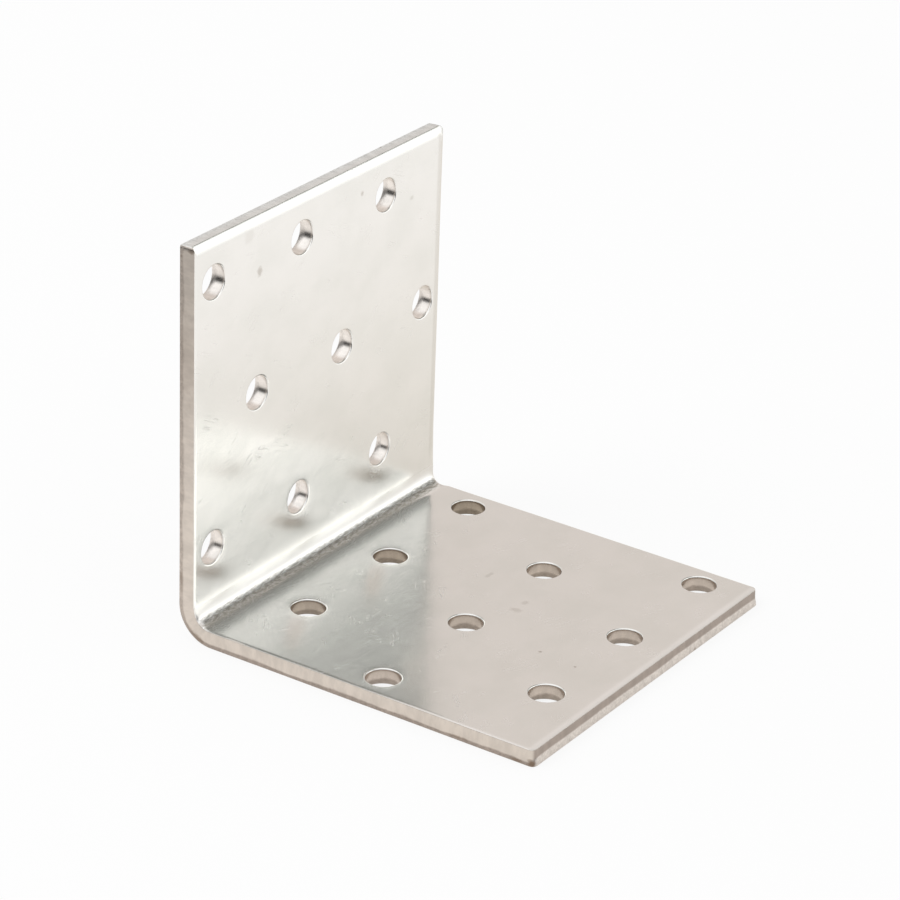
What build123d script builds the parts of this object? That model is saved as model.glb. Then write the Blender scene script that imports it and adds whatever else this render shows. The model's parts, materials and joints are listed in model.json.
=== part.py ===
from build123d import *
import os

# Angle bracket of folded sheet steel, in millimetres.
# Z is up. The flat leg lies on Z = 0 and reaches towards +X, the upright leg stands at -X,
# and the fold runs along Y. The origin is the middle of the flat leg's underside.

# Outline of the folded strip
upright_height = 60.0  # from the underside to the top edge
flat_reach = 60.0  # from the outer face of the upright leg to the tip
width = 59.0  # along the fold
sheet = 2.6  # thickness of the steel with its zinc
bend_inside_r = 2.9  # radius of the inner face at the fold
corner_r = 0.5  # blank corners, rounded by the blanking tool

# Punched holes, in rows that run along the fold
hole_d = 5.0
hole_pitch = 20.2  # between the holes of one row, and between the rows of one leg
row_stagger = 10.1  # every second row is moved along the fold by this much
upright_first_row = 13.3  # above the underside
flat_first_row = 12.0  # from the outer face of the upright leg
edge_metal = 1.0  # least metal between a hole and a cut edge

# Marks of the shearing tools: the inner face is the side that the punch entered
outline_roll_r = 0.4  # rounded shoulder along the outline of the inner face
mouth_roll = 0.3  # the mouth of each hole is drawn in by this much, in radius and in depth
land_share = 0.55  # part of the sheet's thickness that the punch cut straight
break_out = 0.4  # the hole is this much wider in radius where the slug broke away
punch_overrun = 1.0  # the cutting tool passes each face by this much

back_x = -flat_reach / 2  # outer face of the upright leg
tip_x = flat_reach / 2
edge_least = hole_d / 2 + edge_metal  # from a hole's middle to a cut edge


def folded_strip():
    """The blank after folding: one L section with concentric bend radii, drawn along the fold."""
    outer_path = [(back_x, upright_height), (back_x, 0), (tip_x, 0)]
    inner_path = [(back_x + sheet, upright_height), (back_x + sheet, sheet), (tip_x, sheet)]
    outer = FilletPolyline(*outer_path, radius=bend_inside_r + sheet)
    inner = FilletPolyline(*inner_path, radius=bend_inside_r)
    ends = [Line(outer @ 0, inner @ 0), Line(outer @ 1, inner @ 1)]
    section = make_face([*outer.edges(), *inner.edges(), *ends])
    strip = extrude(Plane.XZ * section, amount=width / 2, both=True)
    top_corners = strip.edges().filter_by(Axis.X).group_by(Axis.Z)[-1]
    tip_corners = strip.edges().filter_by(Axis.Z).group_by(Axis.X)[-1]
    return fillet([*top_corners, *tip_corners], corner_r)


def punch_tool():
    """One punched hole from local Z = 0 down: the drawn-in mouth, a straight land and the wider break."""
    hole_r = hole_d / 2
    profile = Polyline(
        (0, punch_overrun),
        (hole_r + mouth_roll, punch_overrun),
        (hole_r + mouth_roll, 0),
        (hole_r, -mouth_roll),
        (hole_r, -land_share * sheet),
        (hole_r + break_out, -sheet),
        (hole_r + break_out, -sheet - punch_overrun),
        (0, -sheet - punch_overrun),
        close=True,
    )
    return revolve(Plane.XZ * make_face(profile), Axis.Z)


def row_distances(first, leg_length):
    """Distances of the rows from the fold's outer face, as many as the leg has room for."""
    count = int((leg_length - edge_least - first) / hole_pitch) + 1
    return [first + hole_pitch * k for k in range(count)]


def hole_places(shifted):
    """Places of one row's holes along the fold; both kinds of row together are centred on the width."""
    count = int((width - 2 * edge_least - row_stagger) / hole_pitch) + 1
    start = -(hole_pitch * (count - 1) + row_stagger) / 2 + (row_stagger if shifted else 0)
    return [start + hole_pitch * k for k in range(count)]


def hole_planes():
    """A plane at each hole's mouth on the inner face, with its normal out of the steel."""
    planes = []
    for row, z in enumerate(row_distances(upright_first_row, upright_height)):
        for y in hole_places(shifted=row % 2 == 1):
            planes.append(Plane((back_x + sheet, y, z), x_dir=(0, 1, 0), z_dir=(1, 0, 0)))
    for row, x in enumerate(row_distances(flat_first_row, flat_reach)):
        for y in hole_places(shifted=row % 2 == 0):
            planes.append(Plane((back_x + x, y, sheet), x_dir=(1, 0, 0), z_dir=(0, 0, 1)))
    return planes


def inner_outline(strip):
    """The cut edges of the inner face: round the upright leg, the hollow of the fold and the flat leg."""
    upright = strip.faces().filter_by(Plane.YZ).sort_by(SortBy.AREA)[-2:].sort_by(Axis.X)[-1]
    flat = strip.faces().filter_by(Plane.XY).sort_by(SortBy.AREA)[-2:].sort_by(Axis.Z)[-1]
    bends = strip.faces().filter_by(GeomType.CYLINDER).sort_by(SortBy.AREA)[-2:]
    hollow = bends[0]
    fold_lines = hollow.edges().filter_by(Axis.Y)
    seams = [line.center() for line in fold_lines]
    edges = [edge for face in (upright, hollow, flat) for edge in face.edges()]
    return [edge for edge in edges if edge.center() not in seams]


def angle_bracket():
    """The folded strip with the rolled shoulder of its outline, and its punched holes."""
    strip = folded_strip()
    strip = fillet(inner_outline(strip), outline_roll_r)
    tool = punch_tool()
    return strip - [plane * tool for plane in hole_planes()]


os.makedirs("parts", exist_ok=True)
export_step(angle_bracket(), "parts/angle_bracket.step")
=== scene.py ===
"""Angle bracket of folded, zinc plated sheet steel, in a plain white studio.

The steel is one closed surface. It is worked out on the flat blank, with its punched holes and
sheared edges, and then carried round the fold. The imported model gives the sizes.
"""
import json
import logging
import math
from collections.abc import Callable
from dataclasses import dataclass, field
from enum import IntEnum
from functools import reduce

import bpy
import numpy as np
from mathutils import Matrix, Vector


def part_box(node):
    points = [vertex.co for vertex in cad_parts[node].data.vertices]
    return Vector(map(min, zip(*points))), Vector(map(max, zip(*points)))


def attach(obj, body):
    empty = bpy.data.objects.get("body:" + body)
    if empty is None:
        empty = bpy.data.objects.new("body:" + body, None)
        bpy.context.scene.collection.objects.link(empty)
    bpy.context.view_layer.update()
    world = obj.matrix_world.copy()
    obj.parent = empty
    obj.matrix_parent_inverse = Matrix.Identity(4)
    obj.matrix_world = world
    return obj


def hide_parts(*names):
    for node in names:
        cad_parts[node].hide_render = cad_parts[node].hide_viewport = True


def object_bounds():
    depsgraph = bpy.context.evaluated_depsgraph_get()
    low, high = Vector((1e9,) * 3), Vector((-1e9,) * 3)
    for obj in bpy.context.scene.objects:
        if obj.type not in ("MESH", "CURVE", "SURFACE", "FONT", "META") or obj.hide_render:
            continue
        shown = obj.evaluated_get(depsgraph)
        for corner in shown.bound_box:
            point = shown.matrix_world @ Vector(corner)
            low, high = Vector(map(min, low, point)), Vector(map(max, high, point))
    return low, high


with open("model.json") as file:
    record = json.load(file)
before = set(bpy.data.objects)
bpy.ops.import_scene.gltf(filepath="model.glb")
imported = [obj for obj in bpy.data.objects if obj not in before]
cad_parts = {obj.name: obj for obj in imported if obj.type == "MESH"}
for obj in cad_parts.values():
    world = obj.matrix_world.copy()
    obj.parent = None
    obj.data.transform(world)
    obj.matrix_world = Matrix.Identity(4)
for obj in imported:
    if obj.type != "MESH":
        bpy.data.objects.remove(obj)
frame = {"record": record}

CAD_LOW, CAD_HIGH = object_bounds()

MM = 0.001  # Blender's metres in one millimetre
NODE = "angle_bracket"
IMAGE_SIDE = 900  # width and height of the photograph in pixels
SENSOR = 36.0  # width of the camera's sensor in millimetres
LEG_ROWS = 3  # rows of holes in each leg
COLUMNS = 6  # columns of holes, of which each row uses every second one
PLACE_NAME = "blank_place"  # vertex attribute: station, place along the fold and depth
CUT_NAMES = "cut_stage", "cut_end"  # vertex attributes: the two values of Patch.cut
MERGE_CELL = 1e-5  # vertices in one cell of this size, in millimetres, are made one
MERGE_SHIFT = 0.37  # keeps round numbers off the borders of those cells
FLUSH = 0.0, 0.0, 0.0  # insets of the outline itself

log = logging.getLogger("angle_bracket")

Triple = tuple[float, float, float]  # a colour, or a place or a reach in three directions
Socket = bpy.types.NodeSocket
Array = np.ndarray


class Zone(IntEnum):
    """The three kinds of surface on the steel, which are also its material slots."""

    ZINC = 0
    SHEARED_EDGE = 1
    PUNCHED_WALL = 2


@dataclass(frozen=True)
class BracketSizes:
    """Sizes of the bracket in millimetres."""

    height: float
    reach: float
    width: float
    sheet: float
    hole_radius: float
    pitch: float
    upright_first_row: float
    flat_first_row: float
    bend_inside: float = 2.9
    upright_spread: float = 1.42  # spreads of the two half bells that the hollow's curvature follows
    flat_spread: float = 1.3
    fold_shift: float = 0.3  # the hollow lies this far towards the flat leg
    tip_corner: float = 0.85  # corner radii in the plane of the sheet
    top_corner: float = 0.3
    break_out: float = 0.4  # the holes are this much wider in radius on the outer face
    trace_reach: float = 60.0  # the hollow's section is traced this far to both sides
    trace_points: int = 12001

    @classmethod
    def from_frame(cls, record: dict) -> "BracketSizes":
        """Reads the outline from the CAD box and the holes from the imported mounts.

        Args:
            record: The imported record.

        Returns:
            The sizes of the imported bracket.
        """
        low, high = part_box(NODE)
        mounts = {mount["name"]: mount for mount in record["mounts"]}
        upright, flat = mounts["upright_outer_rows"], mounts["flat_outer_rows"]
        two_pitches = upright["dims"]["spacing_x_mm"]
        return cls(
            height=(high.z - low.z) / MM,
            reach=(high.x - low.x) / MM,
            width=(high.y - low.y) / MM,
            sheet=flat["pos_m"][2] / MM,
            hole_radius=upright["dims"]["hole_r_mm"],
            pitch=two_pitches / 2,
            upright_first_row=upright["pos_m"][2] / MM - upright["dims"]["spacing_y_mm"] / 2,
            flat_first_row=(flat["pos_m"][0] - low.x) / MM - flat["dims"]["spacing_x_mm"] / 2,
        )

    @property
    def bend_outside(self) -> float:
        """Radius of the outer face at the fold."""
        return self.bend_inside + self.sheet

    @property
    def fold_length(self) -> float:
        """Length of the fold's quarter turn along the middle of the sheet."""
        return (self.bend_inside + self.sheet / 2) * math.pi / 2

    @property
    def top_station(self) -> float:
        """Place of the top edge along the blank; the fold begins at station 0."""
        return self.bend_outside - self.height

    @property
    def tip_station(self) -> float:
        """Place of the flat leg's tip along the blank."""
        return self.fold_length + self.reach - self.bend_outside

    def row_stations(self) -> list[float]:
        """Works out the places of the rows of holes along the blank.

        Returns:
            A station for each row, from the top edge to the tip.
        """
        lowest = self.bend_outside - self.upright_first_row
        upright = [lowest - self.pitch * k for k in reversed(range(LEG_ROWS))]
        flat_start = self.fold_length - self.bend_outside + self.flat_first_row
        return upright + [flat_start + self.pitch * k for k in range(LEG_ROWS)]

    def columns(self) -> list[float]:
        """Places of the columns of holes along the fold; rows use every second one in turn."""
        return [self.pitch * (k / 2 - (COLUMNS - 1) / 4) for k in range(COLUMNS)]

    def holes(self) -> list[tuple[int, int]]:
        """Row and column of each of the 18 holes."""
        return [(row, column) for row in range(2 * LEG_ROWS) for column in range(row % 2, COLUMNS, 2)]

    def inner_depth(self, station: Array) -> Array:
        """Depth of the inner face under the press tool.

        The hollow of the fold isn't a plain arc: it is tightest under the tool's nose and runs out
        slowly into both legs, so its direction turns by the running sum of a bell curve. The
        section is traced finely, each point gets its station and its depth, and the depths are
        read off at the stations asked for.

        Args:
            station: Places along the blank.

        Returns:
            Depth of the inner face from the outer face at each place.
        """
        way, step = np.linspace(-self.trace_reach, self.trace_reach, self.trace_points, retstep=True)
        spread = np.where(way < 0, self.upright_spread, self.flat_spread)
        turned = np.cumsum(np.exp(-((way / spread) ** 2) / 2))
        turned *= math.pi / 2 / turned[-1]
        from_upright = np.cumsum(np.sin(turned)) * step
        from_flat = (np.cos(turned).sum() * step) - np.cumsum(np.cos(turned)) * step
        across, down = self.bend_inside - from_upright, self.bend_inside - from_flat
        angle = np.arctan2(down, across)
        past = np.where(across < 0, self.fold_length - across, angle / (math.pi / 2) * self.fold_length)
        traced = np.where(down < 0, down, past)
        on_leg = self.sheet + np.where(down < 0, from_upright, from_flat)
        bent = self.bend_outside - np.hypot(across, down)
        depth = np.where((down < 0) | (across < 0), on_leg, bent)
        return np.interp(station - self.fold_shift, traced, depth)

    def carry(self, blank: Array) -> Array:
        """Carries places on the flat blank to the folded bracket.

        Before the fold the station runs down the upright leg, and after it out along the flat leg.
        In the fold it turns a quarter circle about one axis, with a radius that is the outer bend
        radius less the depth, so the legs meet the bend without a step.

        Args:
            blank: Array of (station, place along the fold, depth from the outer face), in mm.

        Returns:
            Array of (x, y, z) in metres.
        """
        station, along, depth = blank[..., 0], blank[..., 1], blank[..., 2]
        turn = np.clip(station / self.fold_length, 0, 1) * math.pi / 2
        radius = self.bend_outside - depth
        x = self.bend_outside - radius * np.cos(turn) + np.maximum(station - self.fold_length, 0)
        z = self.bend_outside - radius * np.sin(turn) - np.minimum(station, 0)
        return np.stack([x - self.reach / 2, along, z], axis=-1) * MM


def ripple(place: Array, seed: int, wavelength: float, terms: int) -> Array:
    """A smooth uneven line: a sum of sines, each shorter and lower than the one before.

    Args:
        place: Distances at which the line is wanted.
        seed: Chooses the line.
        wavelength: Longest wavelength, in the unit of the distances.
        terms: Number of sines.

    Returns:
        Values between about -1 and 1, one for each distance.
    """
    phases = np.random.default_rng(seed).uniform(0, 2 * math.pi, terms)
    waves = [
        np.sin(2 * math.pi * place * (1 + 0.7 * k) / wavelength + phases[k]) / (1 + k)
        for k in range(terms)
    ]
    return np.sum(waves, axis=0) / 1.6


def hump(place: Array, middle: float, reach: float) -> Array:
    """A smooth rise to 1 at the middle that is exactly zero beyond its reach."""
    return np.maximum(1 - ((place - middle) / reach) ** 2, 0) ** 2


def way_in(place: Array, edge: float, strip: float) -> Array:
    """Square of the way through the strip before an edge: 0 where it begins, 1 at the edge."""
    return np.clip((place - edge + strip) / strip, 0, 1) ** 2


def added(name: str, data: bpy.types.ID) -> bpy.types.Object:
    """Adds an object to the scene.

    Args:
        name: Its name.
        data: Its mesh, light or camera.

    Returns:
        The object.
    """
    made = bpy.data.objects.new(name, data)
    bpy.context.scene.collection.objects.link(made)
    return made


def directions(angle: Array) -> Array:
    """Unit vectors in the plane of the blank, at the given angles."""
    return np.stack([np.cos(angle), np.sin(angle)], axis=-1)


def closed(rings: Array) -> Array:
    """Rings of values, each with its first value again at its end."""
    return np.concatenate([rings, rings[:, :1]], axis=1)


@dataclass(frozen=True)
class SheetRelief:
    """Small departures of the steel from flat, in millimetres."""

    sizes: BracketSizes
    sway: float = 0.03  # the sheet's own waviness
    calm_reach: float = 12.0  # it sets in over this distance from the fold's middle
    draw_in: float = 0.015  # the face sinks by this much at a hole's mouth
    draw_width: float = 0.7  # how far from the mouth that dies away
    fold_pinch: float = 0.32  # the ends of the fold are drawn in by this much, in width and in depth
    pinch_middle: float = 3.7  # station where they are drawn in most
    pinch_reach: float = 3.4  # how far from there it is felt
    pinch_strip: float = 2.2  # and how far in from the end
    far_draw: float = 0.14  # the upright leg's far edge sinks by this much
    far_strip: float = 1.5  # in a strip of this width
    far_fade: float = 6.0  # and it sets in over this length above the fold

    def hole_distance(self, blank: Array) -> Array:
        """Finds how far places are from the holes.

        Args:
            blank: Array whose last axis begins with station and place along the fold.

        Returns:
            Distance of each place from the middle of its nearest hole.
        """
        stations, columns = self.sizes.row_stations(), self.sizes.columns()
        centres = np.array([(stations[row], columns[column]) for row, column in self.sizes.holes()])
        offsets = blank[..., None, :2] - centres
        return np.sqrt((offsets**2).sum(-1)).min(-1)

    def press(self, blank: Array) -> Array:
        """Presses the fold's own section, the drawn-in places and the waviness into the sheet.

        Each depth is scaled by the depth of the pressed inner face over the sheet's thickness, so
        the outer face stays where it is. Round a hole the inner face sinks by a bell curve of the
        distance from the mouth, towards the ends of the fold by a hump along the stations, and at
        the upright leg's far edge by the square of the way into a narrow strip. The waviness is made
        of slow sines and moves the whole thickness inwards, never outwards.

        Args:
            blank: Array of (station, place along the fold, depth), in mm.

        Returns:
            The same array with its depths changed.
        """
        station, along, depth = blank[..., 0], blank[..., 1], blank[..., 2]
        half, sheet = self.sizes.width / 2, self.sizes.sheet
        beyond = (self.hole_distance(blank) - self.sizes.hole_radius) / self.draw_width
        at_fold = hump(station, self.pinch_middle, self.pinch_reach)
        pinch = self.fold_pinch * at_fold * way_in(np.abs(along), half, self.pinch_strip)
        above_fold = np.clip(-station / self.far_fade, 0, 1)
        far = self.far_draw * way_in(along, half, self.far_strip) * above_fold
        inner = self.sizes.inner_depth(station) - self.draw_in * np.exp(-np.maximum(beyond, 0) ** 2)
        inner = inner - pinch - far
        wave = np.sin(station / 7.3 + 0.6) * np.cos(along / 9.1 - 0.4) + np.sin(station / 4.1 + along / 13)
        clear = np.clip(np.abs(station - self.sizes.fold_length / 2) / self.calm_reach, 0, 1)
        lifted = self.sway * (wave / 4 + 0.5) * clear
        narrowed = along - np.sign(along) * pinch * depth / sheet
        return np.stack([station, narrowed, depth * inner / sheet + lifted], axis=-1)


@dataclass
class Patch:
    """One grid of the surface, still on the blank."""

    blank: Array  # (rows, columns, 3): station, along, depth
    cut: Array  # (rows, columns, 2): stage of the cut, and -1 at the top edge to 1 at the tip
    zone: Zone
    turned: bool  # True where the grid's own order faces into the steel
    kept: Array | None = None  # which quads exist, where not all of them do

    def quads(self, first: int) -> Array:
        """Numbers the quads between the grid's vertices.

        Args:
            first: Number of the grid's first vertex.

        Returns:
            Array of shape (quads, 4), of vertex numbers in an order that faces out of the steel.
        """
        shape = self.blank.shape[:2]
        number = first + np.arange(shape[0] * shape[1]).reshape(shape)
        quads = np.stack([number[:-1, :-1], number[1:, :-1], number[1:, 1:], number[:-1, 1:]], axis=-1)
        quads = quads.reshape(-1, 4) if self.kept is None else quads[self.kept]
        return quads[:, ::-1] if self.turned else quads


@dataclass(frozen=True)
class CutProfile:
    """Section of a sheared edge from the inner face to the outer one, in millimetres."""

    roll_width: float  # how far the drawn-in shoulder reaches in from the land
    roll_depth: float  # how far it falls
    roll_power: float  # the shoulder falls as this power of the way across it
    land_share: float  # the straight land ends at this part of the thickness
    land_inset: tuple[float, float]  # how far the land stands behind the outline, at its start and end
    foot_inset: float  # the same where the break meets the outer face
    foot_round: float  # rounding there
    roll_steps: int = 9  # rings of the shoulder
    roll_crowding: float = 1.8  # its rings crowd towards its edge by this power
    land_crowding: float = 1.5  # and so do the land's rings
    lean_power: float = 0.6  # the break leans out as this power of its fall
    lean_stages: float = 0.9  # share of the break's stages before the rounding at its foot

    def border(self) -> float:
        """Inset at which the shoulder begins on the inner face."""
        return self.roll_width + self.land_inset[0]

    def section(self, sheet: float) -> Array:
        """Points of the section.

        The shoulder falls as a power of the way across it and ends in an edge, the land is
        straight, the break leans out from the land by a power of its fall and ends in a quarter
        circle at the outer face.

        Args:
            sheet: Thickness of the sheet.

        Returns:
            Array of (inset from the outline, depth from the outer face, stage of the cut). The
            stage is 0 on the shoulder, 0 to 1 down the land and 1 to 2 down the break.
        """
        start, end = self.land_inset
        land_start, land_end = sheet - self.roll_depth, sheet * (1 - self.land_share)
        way = 1 - (1 - np.linspace(0, 1, self.roll_steps)) ** self.roll_crowding
        sunk = sheet - self.roll_depth * way**self.roll_power
        roll = [start + self.roll_width * (1 - way), sunk, 0 * way]
        fall = np.linspace(0, 1, 7)[1:] ** self.land_crowding
        land = [start + (end - start) * fall, land_start * (1 - fall) + land_end * fall, fall]
        fall = np.array([0.08, 0.2, 0.4, 0.7, 1.0])
        lean = [
            end + (self.foot_inset - end) * fall**self.lean_power,
            land_end * (1 - fall) + self.foot_round * fall,
            1 + self.lean_stages * fall,
        ]
        turn = np.linspace(0, math.pi / 2, 5)[1:]
        foot = [
            self.foot_inset + self.foot_round * (1 - np.cos(turn)),
            self.foot_round * (1 - np.sin(turn)),
            1 + self.lean_stages + (1 - self.lean_stages) * turn / turn[-1],
        ]
        return np.concatenate([roll, land, lean, foot], axis=1).T


@dataclass
class SteelSheet:
    """The folded sheet with its rolled, sheared and punched edges."""

    sizes: BracketSizes
    relief: SheetRelief
    side_cut: CutProfile
    top_cut: CutProfile
    tip_cut: CutProfile
    mouth_roll: float = 0.24  # the holes' mouths are rounded by this much
    mouth_rings: int = 6  # rings of that rounding
    land_share: float = 0.55  # a hole's land ends at this part of the thickness
    side_strip: float = 1.0  # width of the finely divided strip along the sides
    tip_strip: float = 1.8  # the same along the tip
    cell_half: float = 3.9  # half the length of a hole's cell along the stations
    cell_steps: int = 14  # divisions along one side of a hole's square cell
    corner_shrink: float = 0.75  # the corners' radius is less by this share on the inner face
    ring_power: float = 1.5  # rings round a hole grow outwards as this power of their number
    land_wander: float = 0.035  # unevenness of the outline's land, as a share of the thickness
    land_waves: int = 14  # number of its longest waves round the outline
    hole_wander: float = 0.1  # unevenness of the holes' walls, in radius and in depth
    outline_seed: int = 5
    hole_seed: int = 40  # of the first hole; each has the next one
    patches: list[Patch] = field(default_factory=list)

    def outline_middle(self) -> tuple[float, float]:
        """Middle and half length of the blank along its stations."""
        top, tip = self.sizes.top_station, self.sizes.tip_station
        return (top + tip) / 2, (tip - top) / 2

    def borders(self, insets: Triple) -> tuple[tuple[list[float], list[int]], ...]:
        """Divides the blank into bands across it and along it.

        Args:
            insets: Distances of the outermost borders from the sides, the top edge and the tip.

        Returns:
            Borders of the bands and the number of steps in each, first along the stations and then
            along the fold.
        """
        side, top, tip = insets
        sizes, cell, half = self.sizes, self.cell_steps, self.sizes.width / 2
        rows = [row + way * self.cell_half for row in sizes.row_stations() for way in (-1, 1)]
        stations = [sizes.top_station + top, *rows[: 2 * LEG_ROWS], 0, sizes.fold_length]
        stations += [*rows[2 * LEG_ROWS :], sizes.tip_station - self.tip_strip, sizes.tip_station - tip]
        columns = [sizes.pitch * k / 2 for k in range(-2, 3)]
        columns = [side - half, self.side_strip - half, *columns, half - self.side_strip, half - side]
        # From the top edge: the upright leg's rows and gaps, the fold, the flat leg's rows and gaps.
        steps = [6, cell, 12, cell, 12, cell, 10, 30, 5, cell, 12, cell, 12, cell, 4, 5]
        return (stations, steps), (columns, [5, *[cell] * COLUMNS, 5])

    @staticmethod
    def lines(borders: list[float], steps: list[int]) -> Array:
        """Grid lines that divide each band evenly into its own number of steps."""
        spans = zip(borders, borders[1:], steps)
        return np.concatenate([np.linspace(a, b, n, endpoint=False) for a, b, n in spans] + [borders[-1:]])

    def square(self, insets: Triple) -> Array:
        """Grid of (station, along) over the blank, with square corners."""
        lines = (self.lines(*band) for band in self.borders(insets))
        return np.stack(np.meshgrid(*lines, indexing="ij"), axis=-1)

    def corner_share(self, grid: Array, insets: Triple) -> tuple[Array, ...]:
        """Finds how far each place is through a rounded corner.

        Args:
            grid: Array of (station, along) with square corners.
            insets: Distances of its border from the sides, the top edge and the tip.

        Returns:
            The share along the stations and the share along the fold, both from 0 to 1, and the
            radius.
        """
        side, top, tip = insets
        middle, half_length = self.outline_middle()
        station, along = grid[..., 0], grid[..., 1]
        at_top = station < middle
        radius = np.where(at_top, self.sizes.top_corner, self.sizes.tip_corner)
        radius = radius * (1 - self.corner_shrink * min(side / self.side_cut.border(), 1))
        end = np.where(at_top, top, tip)
        u = np.clip((np.abs(station - middle) - half_length + end) / radius + 1, 0, 1)
        v = np.clip((np.abs(along) - self.sizes.width / 2 + side) / radius + 1, 0, 1)
        return u, v, radius

    def tile(self, insets: Triple) -> Array:
        """Lays a grid over the blank, inside its outline.

        The corners are rounded by the map that turns a square into a disc: each coordinate is
        multiplied by the root of one less half the square of the other.

        Args:
            insets: Distances of its border from the sides, the top edge and the tip.

        Returns:
            Array of (station, along), of shape (stations, columns, 2).
        """
        grid = self.square(insets)
        u, v, radius = self.corner_share(grid, insets)
        middle = self.outline_middle()[0]
        outwards = np.stack([np.sign(grid[..., 0] - middle), np.sign(grid[..., 1])], axis=-1)
        drawn = np.stack([u * (np.sqrt(1 - v**2 / 2) - 1), v * (np.sqrt(1 - u**2 / 2) - 1)], axis=-1)
        return grid + outwards * drawn * radius[..., None]

    @staticmethod
    def rim(grid: Array) -> Array:
        """The border of a grid as one loop, from its first corner along the stations first."""
        return np.concatenate([grid[:-1, 0], grid[-1, :-1], grid[:0:-1, -1], grid[0, :0:-1]])

    def cell(self, row: int, column: int) -> tuple[slice, slice]:
        """Finds the square cell that surrounds a hole.

        Args:
            row: Number of the hole's row.
            column: Number of its column.

        Returns:
            Ranges of the cell's grid lines, along the stations and along the fold.
        """
        band = 1 + 2 * row if row < LEG_ROWS else 3 + 2 * row
        bands = zip((band, column + 1), self.borders(FLUSH))
        return tuple(slice(sum(steps[:k]), sum(steps[: k + 1]) + 1) for k, (_, steps) in bands)

    def add(self, place: Array, depth: Array, cut: Array, zone: Zone, turned: bool,
            kept: Array | None = None) -> None:
        """Stores a patch from its (station, along) grid, its depths and its cut marks."""
        blank = np.concatenate([place, np.broadcast_to(depth[..., None], (*place.shape[:2], 1))], axis=-1)
        self.patches.append(Patch(blank, np.broadcast_to(cut, (*place.shape[:2], 2)), zone, turned, kept))

    def add_wall(self, place: Array, depth: Array, cut: Array, rings: int, zone: Zone,
                 turned: bool) -> None:
        """Adds a wall that closes on itself: first its drawn-in shoulder, then its cut part.

        Args:
            place: Array of (station, along), a row for each ring.
            depth: Depths of the same places.
            cut: Cut marks of the same places.
            rings: Number of rings on the shoulder, which still has its zinc.
            zone: Kind of surface past the shoulder.
            turned: True for a hole.
        """
        place, depth, cut = closed(place), closed(depth), closed(cut)
        for part, kind in ((slice(rings), Zone.ZINC), (slice(rings - 1, None), zone)):
            self.add(place[part], depth[part], cut[part], kind, turned)

    def hole_ring(self, grid: Array, row: int, column: int) -> tuple[Array, ...]:
        """Pairs the vertices on the border of a hole's cell with directions from its middle.

        A direction is half way between the vertex's own and an even spacing.

        Args:
            grid: The blank's grid of (station, along).
            row: Number of the hole's row.
            column: Number of its column.

        Returns:
            The hole's middle, the vertices of the border and the angles of the directions.
        """
        rim = self.rim(grid[self.cell(row, column)])
        centre = np.array([self.sizes.row_stations()[row], self.sizes.columns()[column]])
        offset = rim - centre
        angle = np.unwrap(np.arctan2(offset[:, 1], offset[:, 0]))
        even = angle[0] + np.arange(len(rim)) / len(rim) * 2 * math.pi
        return centre, rim, (angle + even) / 2

    def add_face(self, insets: Triple, depth: float, mouth: float, turned: bool) -> None:
        """Adds one face of the sheet: the grid between the holes, and the rings round them.

        A ring patch runs on straight lines from the hole's circle to the border of its cell.

        Args:
            insets: Distances of its border from the blank's sides, top edge and tip.
            depth: Depth from the outer face.
            mouth: Radius of the holes on this face.
            turned: True on the outer face.
        """
        grid = self.tile(insets)
        kept = np.ones((grid.shape[0] - 1, grid.shape[1] - 1), bool)
        unmarked = np.zeros(2)
        share = (np.linspace(0, 1, 9) ** self.ring_power)[:, None, None]
        for row, column in self.sizes.holes():
            across, length = self.cell(row, column)
            kept[across.start : across.stop - 1, length.start : length.stop - 1] = False
            centre, rim, angle = self.hole_ring(grid, row, column)
            circle = centre + mouth * directions(angle)
            ring = closed(circle * (1 - share) + rim * share)
            self.add(ring, np.full(ring.shape[:2], depth), unmarked, Zone.ZINC, turned)
        self.add(grid, np.full(grid.shape[:2], depth), unmarked, Zone.ZINC, turned, kept)

    def add_outline(self) -> None:
        """Adds the sheared edge all round the blank.

        Each ring of the wall is the blank's border at that ring's insets. The sides, the top edge
        and the tip have sections of their own, whose depths blend round the corners. The line
        where the land ends wanders along the edge.
        """
        sheet = self.sizes.sheet
        side, top, tip = (cut.section(sheet) for cut in (self.side_cut, self.top_cut, self.tip_cut))
        square = self.rim(self.square(FLUSH))
        u, v, _ = self.corner_share(square, FLUSH)
        share = u**2 / (u**2 + v**2)
        at_top = square[:, 0] < self.outline_middle()[0]
        travelled = np.cumsum(np.linalg.norm(np.diff(square, axis=0, append=square[:1]), axis=1))
        wander = ripple(travelled, self.outline_seed, travelled[-1] / self.land_waves, terms=9)
        insets = zip(side[:, 0], top[:, 0], tip[:, 0])
        place = np.stack([self.rim(self.tile(ring)) for ring in insets])
        end = np.where(at_top[None, :, None], top[:, None], tip[:, None])
        blended = side[:, None] * (1 - share[:, None]) + end * share[:, None]
        depth, stage = blended[..., 1], blended[..., 2]
        depth = depth + self.land_wander * sheet * hump(stage, 1, 0.8) * wander
        cropped = share * np.where(at_top, -1, 1)
        mark = np.stack(np.broadcast_arrays(stage, cropped), axis=-1)
        self.add_wall(place, depth, mark, self.side_cut.roll_steps, Zone.SHEARED_EDGE, False)

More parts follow.
